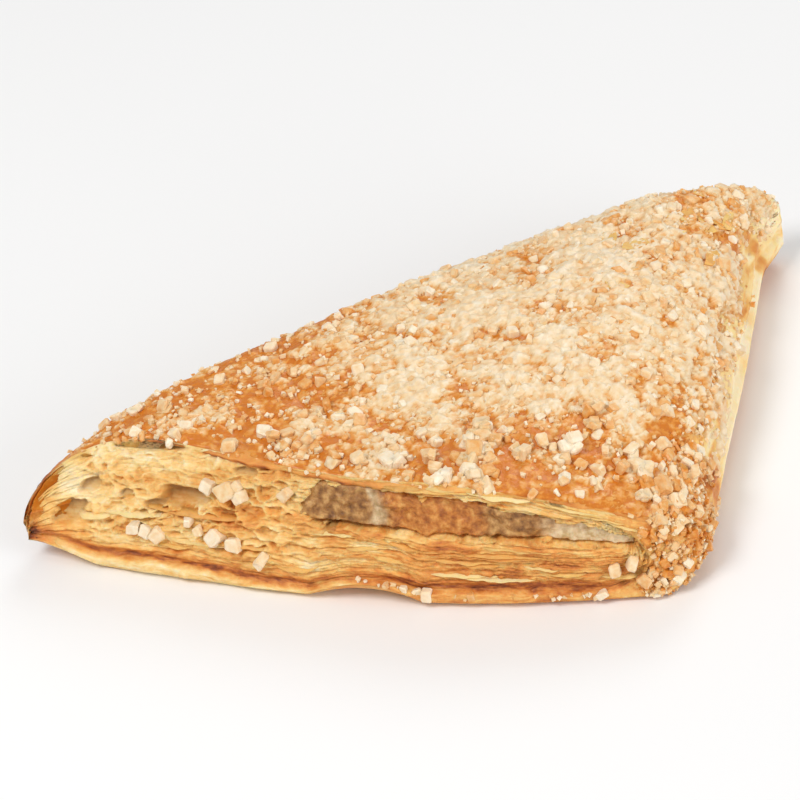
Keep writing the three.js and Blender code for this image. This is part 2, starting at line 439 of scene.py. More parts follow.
def crust():
    """The crust all round, from one cut to the other, with a rim that turns in at each cut."""
    along, up = crust_path()
    fine = np.linspace(0, 1, CRUST_ACROSS)
    across = np.concatenate([[0.0] * RIM_ROWS, fine, [1.0] * RIM_ROWS])
    drop = np.concatenate([RIM_DROP, np.zeros(CRUST_ACROSS), RIM_DROP[::-1]]) * RIM
    inset = np.concatenate([RIM_INSET, np.zeros(CRUST_ACROSS), -np.array(RIM_INSET[::-1])]) * MM
    s, t, u = np.broadcast_arrays(along[:, None], across[None, :], up[:, None])
    base = dough(s, t, u)
    padded = np.concatenate([base[-1 - PATH_JOIN:-1], base, base[1:1 + PATH_JOIN]])
    normals = grid_normals(padded)[PATH_JOIN:-PATH_JOIN]
    normals[:, :RIM_ROWS] = normals[:, RIM_ROWS:RIM_ROWS + 1]
    normals[:, -RIM_ROWS:] = normals[:, -RIM_ROWS - 1:-RIM_ROWS]

    # the rim thins out at the tip and at the base, and the ends of the fold have none
    rim = (1 - at_corner(s)) * (1 + 0.35 * layered_noise(base, 4 * MM, 51))
    thick = fade(s, 0.02, 0.14)
    dropped = drop * rim * thick * lerp(0.35, 1.0, u)
    kept_at_tip = np.where(np.abs(inset) > RIM_OUTER, lerp(0.8, 1.0, thick), thick)
    inset = inset * rim * kept_at_tip * lerp(0.6, 1.0, u)
    points = base + normals * (crust_out(base, s, t, u) - dropped)[..., None]
    to_cut = np.minimum(t, 1 - t) * depth_at(s)
    ragged = LIP_RAGGED * layered_noise(base, 3.2 * MM, 55) * (1 - fade(to_cut, 0.0, 2.5 * MM))
    ragged *= fade(s, 0.04, 0.12)
    points[..., 1] += inset + np.where(t < 0.5, ragged, -ragged) * (1 - at_corner(s)) * u

    # the outermost columns run through the middle of the food, so that the closing stays hidden
    inner = lerp(0.46, 0.3, fade(s, 0.15, 0.6))
    middle = lerp(0.5, 0.35, np.maximum(u, fade(s, 0.8, 0.95)))
    spine = dough(np.clip(s, 0.02, 0.75), lerp(inner, 1 - inner, t), middle)
    points[:, 0] = spine[:, 0]
    points[:, -1] = spine[:, -1]
    points[..., 2] = np.maximum(points[..., 2], ORIGIN[2])

    bake = top_bake(base, s, t)
    blotches = 0.5 + 0.16 * layered_noise(base, 11 * MM, 61) + 0.05 * smooth_noise(base, 2 * MM, 65)
    blotches -= (1 - fade(to_cut, 1 * MM, 4 * MM)) * lerp(0.2, 0.0, fade(s, 0.38, 0.5))
    bake = lerp(blotches, bake, np.maximum(fade(u, 0.0, 0.3), fade(s, 0.99, 0.999)))
    rim_bake = bake + 0.08 + 0.2 * layered_noise(base, 3 * MM, 67) - 0.26 * (1 - fade(s, 0.08, 0.22))
    bake = np.where(drop > 0, rim_bake, bake) + tip_burn(base, s, u)
    inside = dough(0.5, np.array([0.34, 0.66]), 0.45)
    piece = sheet_of("crust", points, {"bake": np.clip(bake, 0, 1)}, close_towards=inside)
    finished(piece, DOUGH, "pastry")


# ---------------------------------------------------------------- cut leaves

LEAVES = 8  # bunches of leaves between the filling and the crust
LEAF_SPACING = 1.5 * MM  # about how far apart they are
LAYER_END = 0.89  # the leaves turn round the filling's layer here
SLOT_GAP = 0.022  # share of the cut's height that is open between the filling and the slot's edge
HOLLOW_LIMIT = 0.2  # depth of a hollow as a share of the food's depth there, at most
HOLLOWS = (
    # along, up, half length and half height in mm, depth in mm
    (0.098, 0.70, 2.0, 1.3, 2.4),
    (0.066, 0.47, 3.2, 2.2, 2.2),
    (0.240, 0.63, 5.0, 2.0, 3.6),
    (0.154, 0.61, 1.3, 0.7, 1.6),
    (0.195, 0.54, 2.0, 1.0, 2.0),
    (0.200, 0.97, 7.0, 1.0, 2.0),
    (0.340, 0.90, 3.0, 0.8, 1.6),
    (0.300, 0.28, 2.6, 0.5, 1.4),
    (0.470, 0.55, 1.6, 1.2, 0.9),
)


def fold_line(up):
    """Share along at which the crust's fold closes a cut, at this share of its height."""
    return FOLD_START + FOLD_REACH * np.sqrt(np.clip(1 - ((up - 0.5) / 0.5) ** 2, 0, 1))


def leaf_share(along, up):
    """How far a place on a cut is from the filling's layer, from 0 there to 1 at the crust."""
    height = top_height(along, 0.0) - base_height(along, 0.0)
    past_end = np.maximum(along - LAYER_END, 0) * LENGTH
    from_layer = np.hypot((up - FILLING_LEVEL) * height, past_end)
    from_face = np.where(up > FILLING_LEVEL, 1 - up, up) * height
    from_fold = np.maximum(fold_line(up) - along, 0) * LENGTH
    from_crust = 1 / (1 / np.maximum(from_face, 1e-6) ** 2 + 1 / np.maximum(from_fold, 1e-6) ** 2) ** 0.5
    return from_layer / (from_layer + from_crust)


def slot_half(along, above):
    """Half the slot's height as a share of the cut's, on its upper side where above is true."""
    share = np.clip((along - FILLING_START) / (FILLING_END - FILLING_START), 0, 1)
    fullness = 0.25 + 0.75 * np.sqrt(hump(share**0.6))
    raised = 1 + 0.5 * above * (1 - fade(along, 0.45, 0.62))
    return FILLING_SHARE / 2 * fullness * raised


def slot_share(along, up):
    """Up to 1 inside the slot that holds the filling, and more outside it."""
    inside = (along > FILLING_START) & (along < FILLING_END)
    share = np.abs(up - FILLING_LEVEL) / (slot_half(along, up > FILLING_LEVEL) + SLOT_GAP)
    return np.where(inside, share, 9.0)


SHAPE_OF_CELLS = (4 * MM, 4 * MM, 1.9 * MM)  # large bubbles of the spongy part
SHAPE_OF_PORES = (1.8 * MM, 1.8 * MM, 1 * MM)  # and small ones
SHAPE_OF_CRUMBS = (1.8 * MM, 1.8 * MM, 0.9 * MM)
GROOVE = 0.6 * MM  # depth of the gaps between bunches of leaves
LEAF_REACH = 0.6 * MM  # how far single bunches stand out
THIN_GROOVE = 0.34 * MM  # depth of the fine lines between leaves
PALE_LEAF = 0.31  # how brown the leaves are
ORANGE_PATCH = (0.33, 0.57)  # along, up
CREASE_BROWN = 0.74
CREASE_HALF_WIDTH = 0.75  # in mm
CREASE_DEPTH = 0.9 * MM
SHEET_OUT = 0.5 * MM  # how far the bottom sheet stands out


def cut_relief(base, along, up, seed):
    """The leaves of a cut: how far they stand out in metres, how brown they are, their own coordinate across
    the leaves in metres, and how clearly they are layered."""
    upper = up > FILLING_LEVEL
    warp = 0.9 * layered_noise(base, (16 * MM, 16 * MM, 7 * MM), seed)
    warp += 0.35 * smooth_noise(base, 3 * MM, seed + 5)
    leaf = leaf_share(along, up) * LEAVES + 0.5 * warp
    number = np.floor(leaf)
    own = np.stack([base[..., 0], np.where(upper, 0.4, 0.0), number * 0.05], axis=-1)
    reach = smooth_noise(own, (11 * MM, 1, 0.03), seed + 9)
    reach += 0.5 * smooth_noise(own, (3.5 * MM, 1, 0.03), seed + 10)
    within = leaf - number
    edge = 1 - np.abs(2 * within - 1) ** 2
    groove = fade(edge, 0.0, 0.45)
    thin = np.abs(2 * ((leaf * 3.3) % 1) - 1)

    # bubbles of the spongy part, and the lumpy tip
    bent = base + 0.9 * MM * layered_noise(base, 3 * MM, seed + 22)[..., None]
    web_near, web_second, web_value, _ = cell_noise(bent, SHAPE_OF_CELLS, seed + 20)
    web = fade(web_second - web_near, 0.05, 0.36)
    pore_near, pore_second, pore_value, _ = cell_noise(bent, SHAPE_OF_PORES, seed + 26)
    pores = fade(pore_second - pore_near, 0.05, 0.3) * pore_value
    spongy = fade(along, 0.05, 0.13) * (1 - fade(along, 0.36, 0.46)) * fade(up, 0.18, 0.34)
    spongy *= 0.75 + 0.35 * smooth_noise(base, 6 * MM, seed + 24)
    lumpy = 1 - fade(along, 0.1, 0.18)
    layered = (1 - 0.9 * spongy) * (1 - 0.7 * lumpy)
    crumbs, _ = facets(base, SHAPE_OF_CRUMBS, seed + 42)

    out = -0.3 * MM + LEAF_REACH * reach * groove + GROOVE * (groove - 1) * (1 - 0.85 * spongy)
    out -= THIN_GROOVE * thin * layered
    out -= MM * (0.3 + 1.8 * spongy) * web * (0.25 + 0.75 * web_value) + 0.7 * MM * spongy * pores
    out += 0.35 * MM * layered_noise(base, (5 * MM, 5 * MM, 2.2 * MM), seed + 30)
    out += 0.55 * MM * lumpy * fade(along, 0.01, 0.04) * layered_noise(base, 3.4 * MM, seed + 35)
    out += 0.12 * MM * layered_noise(base, 0.8 * MM, seed + 40, layers=2)
    out += 0.3 * MM * crumbs * (1 - 0.5 * lumpy)

    from_patch = np.hypot((along - ORANGE_PATCH[0]) * 9, (up - ORANGE_PATCH[1]) * 3.6)
    bake = PALE_LEAF + 0.17 * layered_noise(base, (6 * MM, 6 * MM, 2.6 * MM), seed + 50)
    bake += 0.12 * reach * groove + 0.06 * (1 - thin)
    bake += 0.2 * (1 - fade(from_patch, 0.25, 0.55))
    bake += 0.14 * fade(along, 0.42, 0.56) * (1 - fade(up, 0.45, 0.62))
    bake -= 0.06 * fade(along, 0.7, 0.85) * upper
    bake -= 0.1 * (1 - fade(along, 0.05, 0.2))
    bake += spongy * (0.12 * pores - 0.1 * (1 - web))
    out, bake = with_bottom_sheet(out, bake, base, along, up, seed)
    return out, bake, leaf * LEAF_SPACING, layered


def with_bottom_sheet(out, bake, base, along, up, seed):
    """Adds the brown crease above the lowest sheet of dough, and that sheet, which stands out below it."""
    height = top_height(along, 0.0) - base_height(along, 0.0)
    crease = lerp(0.145, 0.09, fade(along, 0.1, 0.4)) + 0.05 * fade(along, 0.5, 0.65)
    crease = crease * height + 0.3 * MM * smooth_noise(base, 6 * MM, seed + 60)
    from_crease = (up * height - crease) / MM
    line = np.exp(-((from_crease / CREASE_HALF_WIDTH) ** 2))
    fainter_at_notch = 1 - 0.55 * fade(along, 0.4, 0.46) * (1 - fade(along, 0.5, 0.56))
    line *= fainter_at_notch * fade(along, 0.03, 0.08) * (1 - fade(along, 0.86, 0.93))
    out = lerp(out, -CREASE_DEPTH, line)
    near_crease = 0.12 * np.exp(-((from_crease / 2.6) ** 2))
    bake = lerp(bake + near_crease, CREASE_BROWN, np.minimum(1.15 * line, 1))

    sheet = fade(-from_crease, 0.7, 1.2) * fade(along, 0.03, 0.07)
    sheet_out = SHEET_OUT + 0.25 * MM * layered_noise(base, 3 * MM, seed + 65)
    sheet_bake = lerp(0.24, 0.5, fade(along, 0.4, 0.55))
    sheet_bake += 0.12 * layered_noise(base, (5 * MM, 5 * MM, 2 * MM), seed + 70)
    return lerp(out, sheet_out, sheet), lerp(bake, sheet_bake, sheet)


def hollowed(base, along, up, out, seed):
    """Adds the open hollows between the leaves, and tells where to paint shade in them: how deep inside one a
    place is, more so towards its upper side.
    """
    height = top_height(along, 0.0) - base_height(along, 0.0)
    ragged = 0.22 * layered_noise(base, 1.6 * MM, seed)
    hollow_shade = np.zeros(out.shape)
    for place, level, half_length, half_height, depth in HOLLOWS:
        x = (along - place) * LENGTH / (half_length * MM)
        z = (up - level) * height / (half_height * MM)
        tilt = z - 0.25 * x
        inside = 1 - fade(np.hypot(x, tilt) + ragged, 0.72, 1.05)
        deep = np.minimum(depth * MM, HOLLOW_LIMIT * depth_at(along))
        floor = 0.3 * MM * layered_noise(base, 1.5 * MM, seed + 3) - deep
        out = lerp(out, np.minimum(out, floor), inside)
        # painted shade: strongest deep inside a hollow and towards its upper side, under the leaves above
        hollow_shade = np.maximum(hollow_shade, inside * np.clip(0.55 + 0.45 * tilt, 0, 1))
    return out, hollow_shade


SLOT_DEPTH = 5.5 * MM
SLOT_BAKE = 0.35
UNDER_LIP = 0.6 * MM  # how far the topmost leaves lie back behind the crust's rim
TUCK = 0.9  # how far the sheet's edges lie behind the rim, in mm
TUCK_AT_TIP = 0.5
CLOSING = np.array([0.015, 0.12, 0.3, 0.7])  # shares along of the points where a cut's sheet is closed


def cut_leaves(name, across, count_along, count_up, seed):
    """The layered face of one cut, from its lower edge to the crust's rim, with the slot pushed in."""
    front = across < 0.5
    s = even_along(across, 0.5, count_along)
    u = np.linspace(0.0, 1.0, count_up)
    along, up = np.meshgrid(s, u, indexing="ij")
    base = dough(along, across, up)
    normals = grid_normals(base) * (1 if front else -1)
    out, bake, leaf, layered = cut_relief(base, along, up, seed)
    out, hollow_shade = hollowed(base, along, up, out, seed + 100)

    # past the leaves, the crust wraps round the end of the fold
    wrap = fade(along - fold_line(up) + 0.008 * layered_noise(base, 4 * MM, seed + 80), -0.008, 0.012)
    edge = np.minimum(up, 1 - up) * (top_height(along, across) - base_height(along, across))
    from_rim = np.minimum(edge, (1 - along) * LENGTH)
    grit, _ = facets(base, 1.0 * MM, seed + 92)
    lumps, _ = facets(base, 2.4 * MM, seed + 93)
    wrap_out = crust_relief(base) + MM * (0.3 * grit + 0.45 * lumps - 0.45)
    out = lerp(out, wrap_out * fade(from_rim, 0.0, 3 * MM), wrap)
    golden = lerp(0.5, 0.3, across) + 0.12 * layered_noise(base, 5 * MM, seed + 95) - 0.2 * grit
    bake = lerp(bake, golden, wrap)
    bake += tip_burn(base, along, up)

    ragged = 0.3 * layered_noise(base, (3 * MM, 3 * MM, 1.2 * MM), seed + 110)
    uneven_start = along + 0.01 * smooth_noise(base, 2 * MM, seed + 112)
    ragged += 1.2 * (1 - fade(uneven_start, FILLING_START, FILLING_START + 0.03))
    slot = 1 - fade(slot_share(along, up) + ragged, 0.9, 1.1)
    out = lerp(out, -SLOT_DEPTH, slot)
    bake = lerp(bake, SLOT_BAKE, slot)

    out -= UNDER_LIP * (1 - fade(edge, 0.8 * MM, 2.6 * MM)) * (up > 0.5) * (1 - wrap)
    tuck = 1 - fade(edge, 0.0, lerp(0.4, 1.0, up) * MM)
    tuck_depth = lerp(TUCK_AT_TIP, TUCK, fade(along, 0.03, 0.14)) * MM
    out = lerp(out, -tuck_depth, tuck * (1 - wrap))
    points = base + normals * out[..., None]
    points[..., 2] = np.maximum(points[..., 2], ORIGIN[2] + 0.1 * MM)
    # the hollow mark is a mask of painted shade for the material
    marks = {"bake": np.clip(bake, 0, 1), "leaf": leaf, "layered": layered * (1 - wrap), "hollow_shade": hollow_shade}
    inside = dough(CLOSING, lerp(0.42, 0.58, across), 0.47)
    piece = sheet_of(name, points, marks, close_towards=inside)
    finished(piece, LEAF_DOUGH, "pastry")


def leaf_line(share, turn):
    """Shares along and up on the line at this share of the way from the filling to the crust.

    Turn goes from 0 at the tip, under the filling and round its end, to 1 at the tip again, over the filling.
    """
    lower = turn < 0.45
    upper = turn > 0.55
    angle = (np.clip(turn, 0.45, 0.55) - 0.5) / 0.1 * np.pi
    straight = np.where(lower, turn / 0.45, (1 - turn) / 0.45)
    round_end = FILLING_END + (1 - FILLING_END) * share * np.cos(angle)
    along = np.where(lower | upper, FILLING_END * straight, round_end)
    swing = share * np.sin(angle)
    up = FILLING_LEVEL + np.where(swing < 0, FILLING_LEVEL, 1 - FILLING_LEVEL) * swing
    return along, up


# corners of a loose leaf's section: mm outwards, and half thicknesses up
LEAF_PROFILE = ((-2.2, 1.0), (0.0, 0.5), (0.0, -0.5), (-2.2, -1.0), (-2.2, 1.0))
MOST_IN_SPONGE_LEFT_OUT = 0.75


def loose_leaves(name, across, count, seed):
    """Thin leaf edges that stand out of one cut, each a narrow strip along a line of the leaves.

    None hangs in front of the slot, and few cross the spongy part.
    """
    draw = np.random.default_rng(seed)
    side = 1 if across < 0.5 else -1
    bm = bmesh.new()
    bake_layer = bm.verts.layers.float.new("bake")
    for _ in range(count):
        middle = draw.uniform(0.05, 0.95)
        share = draw.uniform(0.18, 0.7 if middle < 0.5 else 0.95)
        half = draw.uniform(0.01, 0.04)
        stations = int(30 + 500 * half)
        turn = np.linspace(max(middle - half, 0.02), min(middle + half, 0.98), stations)
        along, up = leaf_line(share, turn)
        along = np.clip(along, 0.02, 0.93)
        in_sponge = along.min() < 0.4 and up.min() > 0.25
        if slot_share(along, up).min() < 1.3 or (in_sponge and draw.uniform() < MOST_IN_SPONGE_LEFT_OUT):
            continue
        line = dough(along, across, up)
        waver = smooth_noise(line, (7 * MM, 7 * MM, 4 * MM), seed + 1) * 0.35 * MM
        ends = np.sqrt(hump(np.linspace(0, 1, stations)))
        stand = (draw.uniform(0.0, 0.55) + 0.45 * layered_noise(line, 2.2 * MM, seed + 2)) * MM
        stand = lerp(-1.2 * MM, stand, ends)
        thick = draw.uniform(0.1, 0.2) * MM * ends + 0.01 * MM
        bake = draw.uniform(0.12, 0.5)
        sides = len(LEAF_PROFILE) - 1
        grid = bmesh.ops.create_grid(bm, x_segments=stations - 1, y_segments=sides, size=0.5)["verts"]
        for vert in grid:
            station = round((vert.co.x + 0.5) * (stations - 1))
            back, lift = LEAF_PROFILE[round((vert.co.y + 0.5) * sides)]
            at = line[station]
            y = at[1] - side * (stand[station] if back == 0 else back * MM)
            vert.co = (at[0], y, at[2] + waver[station] + lift * thick[station])
            vert[bake_layer] = bake + (0.08 if back == 0 else 0)
    bmesh.ops.remove_doubles(bm, verts=bm.verts, dist=0.004 * MM)
    bmesh.ops.recalc_face_normals(bm, faces=bm.faces)
    mesh = bpy.data.meshes.new(name)
    bm.to_mesh(mesh)
    bm.free()
    mesh.shade_smooth()
    finished(added(name, mesh), DOUGH, "pastry")


CRUST_FLAKES = 26
FLAKE_CORNERS = 9


def crust_flakes(seed):
    """Thin flat plates of crust that have come loose on the top, most of them towards the back corner."""
    draw = np.random.default_rng(seed)
    along, across = top_places(CRUST_FLAKES, seed + 1, flake_density)
    points, normals = surface_frame(along, across)
    bm = bmesh.new()
    bake_layer = bm.verts.layers.float.new("bake")
    for point, normal in zip(points, normals):
        length = draw.uniform(2.5, 6.5) * MM
        width = length * draw.uniform(0.4, 0.8)
        thick = draw.uniform(0.15, 0.3) * MM
        turn = Vector(normal).to_track_quat("Z", "Y").to_matrix().to_4x4()
        spin = Matrix.Rotation(draw.uniform(0, math.tau), 4, "Z")
        lean = Matrix.Rotation(draw.normal(0, 0.06), 4, "X")
        centre = Vector(point) + Vector(normal) * (draw.uniform(0.0, 0.25) * MM - SKIN)
        matrix = Matrix.Translation(centre) @ turn @ spin @ lean @ Matrix.Diagonal((length, width, 1, 1))
        made = bmesh.ops.create_circle(
            bm, cap_ends=True, segments=FLAKE_CORNERS, radius=0.5, matrix=matrix,
        )
        disc = made["verts"]
        for vert in disc:
            vert.co += Vector((*draw.normal(0, 0.4, 2), draw.normal(0, 0.05))) * MM
        face = disc[0].link_faces[0]
        top = bmesh.ops.extrude_face_region(bm, geom=[face])["geom"]
        raised = [item for item in top if isinstance(item, bmesh.types.BMVert)]
        bmesh.ops.translate(bm, verts=raised, vec=Vector(normal) * thick)
        bake = draw.uniform(0.22, 0.45)
        for vert in disc:
            vert[bake_layer] = bake + 0.15
        for vert in raised:
            vert[bake_layer] = bake
    bmesh.ops.recalc_face_normals(bm, faces=bm.faces)
    mesh = bpy.data.meshes.new("crust_flakes")
    bm.to_mesh(mesh)
    bm.free()
    finished(added("crust_flakes", mesh), DOUGH, "pastry")


def flake_density(along, across):
    """Where flakes lie: towards the back corner of the top, but not on the fold."""
    corner = fade(along, 0.72, 0.9) * fade(across, 0.5, 0.85)
    return corner * (1 - fade(along, 0.955, 0.97))


# ---------------------------------------------------------------- filling

FILLING_AROUND = 240  # places on each long side of its section
FILLING_IN = 14  # rings from its middle line to its edge at each cut
FILLING_THROUGH = 14  # rings between the cuts


def fruit_filling():
    """A closed block that runs through the food from one cut to the other, lumpy where it shows."""
    side = FILLING_START + 0.004 + (FILLING_END - FILLING_START - 0.008) * np.linspace(0, 1, FILLING_AROUND)
    along = np.concatenate([side, side[::-1]])
    sign = np.concatenate([np.ones(FILLING_AROUND), -np.ones(FILLING_AROUND)])
    outwards = np.linspace(0, 1, FILLING_IN)
    spread = np.concatenate([outwards, np.ones(FILLING_THROUGH), outwards[::-1]])
    through = np.linspace(0, 1, FILLING_THROUGH + 2)[1:-1]
    across = np.concatenate([np.zeros(FILLING_IN), through, np.ones(FILLING_IN)])
    half = slot_half(along, sign > 0) * sign
    up = FILLING_LEVEL + half[:, None] * spread[None, :] * 1.04
    base = dough(along[:, None], across[None, :], up)
    facing = np.where(across == 0, 1.0, np.where(across == 1, -1.0, 0.0))
    lumps = 0.75 * MM * layered_noise(base, 3.6 * MM, 201) + 0.3 * MM * layered_noise(base, 1.1 * MM, 205)
    points = base.copy()
    points[..., 1] += facing * (FILLING_RECESS - lumps)
    along_grid = np.broadcast_to(along[:, None], points.shape[:2])
    ragged = along_grid + 0.035 * layered_noise(base, 5 * MM, 211)
    orange = 0.85 * fade(ragged, 0.53, 0.59) * (1 - fade(ragged, 0.66, 0.71))
    cream = fade(ragged, 0.79, 0.84)
    cream = np.maximum(cream, 0.8 * hump((ragged - 0.505) / 0.05) ** 2)
    piece = sheet_of("fruit_filling", points, {"orange": orange, "cream": cream})
    finished(piece, FILLING, "filling")


# ---------------------------------------------------------------- sugar


def top_places(count, seed, density):
    """Scattered places on the upper crust: shares along and across, drawn evenly and thinned by density."""
    draw = np.random.default_rng(seed)
    along = np.sqrt(draw.uniform(0.0, 1.0, count * 6))
    across = draw.uniform(0.0, 1.0, count * 6)
    kept = draw.uniform(0, 1, count * 6) < density(along, across)
    return along[kept][:count], across[kept][:count]


def steps_to(along, across, up, far=0.002):
    """The ways to the next places along, across and up, at these places in the dough."""
    ahead = dough(np.minimum(along + far, 1), across, up) - dough(np.maximum(along - far, 0), across, up)
    aside = dough(along, np.minimum(across + far, 1), up) - dough(along, np.maximum(across - far, 0), up)
    above = dough(along, across, np.minimum(up + far, 1)) - dough(along, across, np.maximum(up - far, 0))
    return ahead, aside, above


def unit(vectors):
    return vectors / np.maximum(np.linalg.norm(vectors, axis=-1, keepdims=True), 1e-12)


def surface_frame(along, across):
    """Points on the upper face and the unit normals there."""
    ahead, aside, _ = steps_to(along, across, 1.0)
    return dough(along, across, 1.0), unit(np.cross(ahead, aside))


def cut_frame(along, across, up):
    """Points on a cut and the unit normals there."""
    ahead, _, above = steps_to(along, across, up)
    side = np.where(across < 0.5, 1.0, -1.0)[..., None]
    return dough(along, across, up), side * unit(np.cross(ahead, above))


def sugar_cover(along, across):
    """How much sugar lies at a place on the top, from 0 for none to 1 for a closed cover."""
    patches = layered_noise(dough(along, across, 1.0), 8 * MM, 301)
    fold_corner = fade(along, 0.8, 0.95) * (1 - fade(across, 0.15, 0.45))
    back_corner = fade(along, 0.75, 0.92) * fade(across, 0.6, 0.85)
    middle = fade(along, 0.33, 0.52) * fade(across, 0.08, 0.32) * (1 - 0.6 * fold_corner - 0.7 * back_corner)
    cover = 0.4 + 0.5 * middle + 0.36 * patches
    return np.clip(np.clip(cover, 0.14, 1) - 0.35 * wall_share(along, across), 0, 1) * fade(along, 0.03, 0.12)


MELT_ALONG = 390
MELT_ACROSS = 230
MELT_LEAST = -0.6  # how far the sugar dips below the crust and stands above it, in mm
MELT_MOST = 1.1


def melted_sugar():
    """Sugar that has melted and set again as a lumpy cover, which the crust comes out of in places."""
    along = even_along(0.5, 1.0, MELT_ALONG)[:, None]
    across = np.linspace(0.0, 1.0, MELT_ACROSS)[None, :]
    along, across = np.broadcast_arrays(along, across)
    base = dough(along, across, 1.0)
    cover = sugar_cover(along, across)
    lumps, value = facets(base, 2.6 * MM, 311)
    grit, grit_value = facets(base, 1.1 * MM, 315)
    thick = 1.3 * cover - 0.95 + 0.75 * lumps + 0.4 * grit + 0.15 * layered_noise(base, 1.5 * MM, 319)
    thin = 0.16 * grit + 0.1 * smooth_noise(base, 5 * MM, 321) + 0.08 * lumps
    edge = np.minimum(across, 1 - across) * depth_at(along)
    bare = (1 - fade(edge, 0.0, 0.9 * MM)) + (1 - fade(cover, 0.0, 0.12))
    wall = wall_share(along, across)
    melt = np.maximum(thick, thin * (1 - wall)) - 1.1 * bare - 0.12 * wall
    out = crust_out(base, along, across, np.ones(along.shape)) + np.clip(melt, MELT_LEAST, MELT_MOST) * MM
    points = base + grid_normals(base) * out[..., None]
    tint = 0.98 - 0.5 * fade(thick, -0.05, 0.6) - 0.24 * (value - 0.5) - 0.24 * (grit_value - 0.5)
    tint -= 0.12 * fade(along, 0.4, 0.6) * cover
    tint = lerp(tint, 0.3, 0.6 * wall)
    piece = sheet_of("melted_sugar", points, {"tint": tint}, close_towards=dough(0.6, 0.5, 0.6))
    finished(piece, SUGAR, "pastry")


LOWEST = 0.02 * MM  # no grain reaches below this height or above the next
HIGHEST = 27.1 * MM
BATCH = 150  # grains made at a time, since the operators slow down on a large mesh


def grains(name, places, sink, seed, bevel):
    """Sugar grains as uneven cubes, joined in one mesh: places are the points they lie at, the normals
    there, their sizes and tints, and sink is how far their middles lie above those points, in sizes."""
    draw = np.random.default_rng(seed)
    every = list(zip(*places))
    mesh = bpy.data.meshes.new(name)
    whole = bmesh.new()
    for start in range(0, len(every), BATCH):
        bm = bmesh.new()
        tint_layer = bm.verts.layers.float.new("tint")
        for point, normal, size, tint in every[start:start + BATCH]:
            stretch = draw.uniform(0.65, 1.3, 3) * size
            tilt = Vector(normal).to_track_quat("Z", "Y").to_matrix().to_4x4()
            spin = Matrix.Rotation(draw.uniform(0, math.tau), 4, "Z")
            lean = Matrix.Rotation(draw.normal(0, 0.4), 4, "X")
            centre = Vector(point) + Vector(normal) * size * draw.uniform(*sink)
            matrix = Matrix.Translation(centre) @ tilt @ spin @ lean @ Matrix.Diagonal((*stretch, 1))
            verts = bmesh.ops.create_cube(bm, size=1, matrix=matrix)["verts"]
            for vert in verts:
                vert.co += Vector(draw.normal(0, 0.11, 3)) * size
                vert.co.z = min(max(vert.co.z, LOWEST), HIGHEST)
                vert[tint_layer] = tint
        if bevel:
            bmesh.ops.bevel(
                bm, geom=bm.edges, offset=bevel, offset_type="PERCENT", segments=1, profile=0.5,
                affect="EDGES", material=-1,
            )
        bm.to_mesh(mesh)
        bm.free()
        whole.from_mesh(mesh)
    whole.to_mesh(mesh)
    whole.free()
    finished(added(name, mesh), SUGAR, "pastry")


COARSE = (1.1, 2.1)  # sizes of grains, in mm
LARGE = (1.8, 2.9)
FINE = (0.35, 0.8)
CUT_COARSE = (1.8, 2.5)
COARSE_SINK = (-0.15, 0.2)  # how far the middle of a grain lies above the crust, in sizes
FINE_SINK = (0.0, 0.6)
COARSE_BEVEL = 14  # percent of an edge
NO_BEVEL = 0
MELTED_TINT = (0.1, 0.75)  # from white to caramel
CLEAN_TINT = (0.1, 0.45)
CARAMEL_TINT = (0.3, 0.95)


def sized(points, normals, sizes, seed, tints=MELTED_TINT):
    """Grain places: points, normals, and a size and a tint for each, drawn between two values."""
    draw = np.random.default_rng(seed)
    return points, normals, draw.uniform(*sizes, len(points)) * MM, draw.uniform(*tints, len(points))


def clustered(places, copies, spread, seed):
    """The same places several times, each moved a little, so that crystals grow into one another."""
    draw = np.random.default_rng(seed)
    points, normals, sizes, tints = together(*[places] * copies)
    moved = points + draw.normal(0, spread, points.shape)
    return moved, normals, sizes * draw.uniform(0.55, 1.0, len(sizes)), tints


def near_lip(along, across):
    """Where the largest crystals lie: on the upper crust just behind the front cut."""
    return fade(across, 0.01, 0.05) * (1 - fade(across, 0.12, 0.28)) * fade(along, 0.25, 0.5)


def on_top(count, sizes, seed, density=sugar_cover):
    """Places scattered over the upper crust."""
    along, across = top_places(count, seed, density)
    points, normals = surface_frame(along, across)
    points = points + normals * crust_out(points, along, across, np.ones(along.shape))[..., None]
    return sized(points, normals, sizes, seed + 1)


def on_corners(count, sizes, seed):
    """Places on the ends of the fold, where the crust closes the cuts: three quarters of them in front."""
    draw = np.random.default_rng(seed)
    along = draw.uniform(0.915, 1.0, count)
    up = draw.uniform(0.08, 0.98, count)
    across = np.where(draw.uniform(0, 1, count) < 0.75, 0.0, 1.0)
    kept = along > fold_line(up) + 0.005
    return sized(*cut_frame(along[kept], across[kept], up[kept]), sizes, seed + 1, CARAMEL_TINT)


def on_fold_end(count, sizes, seed, up):
    """Places at the front end of the fold, on its upper face (up is 1) or under it (up is 0)."""
    draw = np.random.default_rng(seed)
    along = draw.uniform(0.94 if up else 0.955, 1.0, count)
    across = draw.uniform(0.0, 0.22, count)
    ahead, aside, _ = steps_to(along, across, up)
    points = dough(along, across, up)
    normals = unit(np.cross(ahead, aside)) * (1 if up else -1)
    out = crust_out(points, along, across, np.full(count, up))
    return sized(points + normals * out[..., None], normals, sizes, seed + 1, CARAMEL_TINT)


def on_fold_band(count, sizes, seed):
    """Places at the front end of the fold, on the narrow band between its upper and its lower face."""
    draw = np.random.default_rng(seed)
    across = draw.uniform(0.0, 0.14, count)
    up = draw.uniform(0.0, 1.0, count)
    _, aside, above = steps_to(np.ones(count), across, up)
    points = dough(1.0, across, up)
    normals = unit(np.cross(aside, above))
    out = crust_out(points, np.ones(count), across, up)
    return sized(points + normals * out[..., None], normals, sizes, seed + 1, CARAMEL_TINT)


